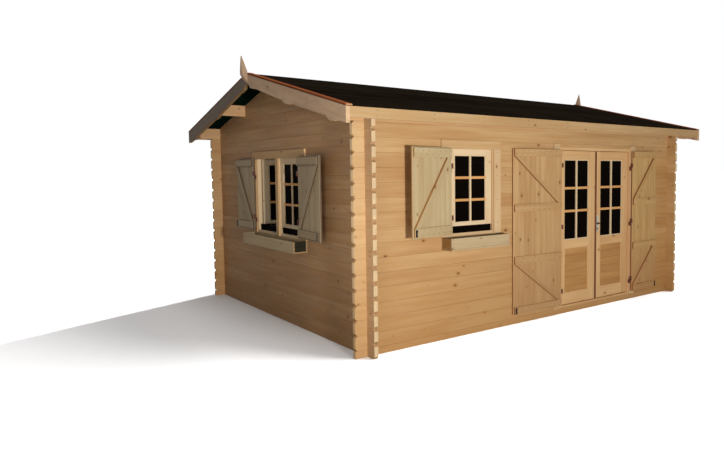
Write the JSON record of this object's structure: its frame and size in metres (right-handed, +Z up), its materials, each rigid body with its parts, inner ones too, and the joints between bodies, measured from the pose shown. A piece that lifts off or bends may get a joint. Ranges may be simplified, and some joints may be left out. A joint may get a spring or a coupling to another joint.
{
  "type": "log cabin",
  "caption": "Garden log cabin with notched log walls, a low gable roof, a glazed double door, shuttered windows and window boxes.",
  "frame": {"origin": "centre of the footprint, on the ground", "axes": "+X along the front wall to the right as seen from outside, +Y from the front to the back, +Z up"},
  "size_m": [5.5126, 4.27, 2.8838],
  "materials": {
    "log_wood": "smooth planed pine, clear stain",
    "trim_wood": "planed pine, clear stain",
    "door_wood": "planed pine, clear stain",
    "shutter_wood": "planed pine boards, clear stain",
    "floor_wood": "planed pine boards",
    "roof_wood": "sawn pine boards",
    "roof_felt": "mineral roofing felt",
    "glass": "clear glass over a dark room",
    "black_iron": "black painted iron",
    "handle_metal": "satin metal"
  },
  "bodies": {
    "cabin": {"front_sill_log": "log_wood", "front_wall_left": "log_wood", "front_wall_right": "log_wood", "front_wall_top": "log_wood", "back_wall": "log_wood", "left_gable_wall": "log_wood", "right_gable_wall": "log_wood", "eave_plates": "log_wood", "floor_joists": "floor_wood", "floor_boards": "floor_wood", "roof_purlins": "roof_wood", "front_roof_boards": "roof_wood", "back_roof_boards": "roof_wood", "roof_felt": "roof_felt", "eave_fascias": "trim_wood", "bargeboards": "trim_wood", "verge_caps": "trim_wood", "ridge_finials": "trim_wood", "door_frame": "trim_wood", "architraves": "trim_wood", "front_window_frame": "trim_wood", "front_window_sash": "trim_wood", "gable_window_frame": "trim_wood", "gable_window_sashes": "trim_wood", "window_glass": "glass", "front_window_box": "shutter_wood", "gable_window_box": "shutter_wood", "hinge_pins": "black_iron"},
    "left_door": {"left_door_leaf": "door_wood", "left_door_glass": "glass", "left_door_hinges": "black_iron"},
    "right_door": {"right_door_leaf": "door_wood", "right_door_glass": "glass", "right_door_hinges": "black_iron", "door_handle": "handle_metal"},
    "door_shutter_left": {"left_door_shutter": "shutter_wood", "left_door_shutter_hinges": "black_iron"},
    "door_shutter_right": {"right_door_shutter": "shutter_wood", "right_door_shutter_hinges": "black_iron"},
    "window_shutter_front": {"front_window_shutter": "shutter_wood", "front_window_shutter_hinges": "black_iron"},
    "window_shutter_gable_left": {"gable_left_shutter": "shutter_wood", "gable_left_shutter_hinges": "black_iron"},
    "window_shutter_gable_right": {"gable_right_shutter": "shutter_wood", "gable_right_shutter_hinges": "black_iron"}
  },
  "joints": [
    {"name": "left_door_swing", "type": "hinge", "parent": "cabin", "child": "left_door", "pos_m": [0.16481, -1.814, 0.9875], "axis": [0, 0, 1], "range_deg": [0, 90]},
    {"name": "right_door_swing", "type": "hinge", "parent": "cabin", "child": "right_door", "pos_m": [1.47481, -1.814, 0.9875], "axis": [0, 0, -1], "range_deg": [0, 90]},
    {"name": "left_door_shutter_swing", "type": "hinge", "parent": "cabin", "child": "door_shutter_left", "pos_m": [0.16231, -1.932, 0.999], "axis": [0, 0, -1], "range_deg": [-182, 0]},
    {"name": "right_door_shutter_swing", "type": "hinge", "parent": "cabin", "child": "door_shutter_right", "pos_m": [1.47731, -1.932, 0.999], "axis": [0, 0, 1], "range_deg": [-182, 0]},
    {"name": "front_window_shutter_swing", "type": "hinge", "parent": "cabin", "child": "window_shutter_front", "pos_m": [-1.43452, -1.932, 1.4565], "axis": [0, 0, -1], "range_deg": [-168, 14]},
    {"name": "gable_left_shutter_swing", "type": "hinge", "parent": "cabin", "child": "window_shutter_gable_left", "pos_m": [-2.432, 0.577, 1.389], "axis": [0, 0, -1], "range_deg": [-182, 0]},
    {"name": "gable_right_shutter_swing", "type": "hinge", "parent": "cabin", "child": "window_shutter_gable_right", "pos_m": [-2.432, -0.617, 1.389], "axis": [0, 0, 1], "range_deg": [-175, 7]}
  ]
}
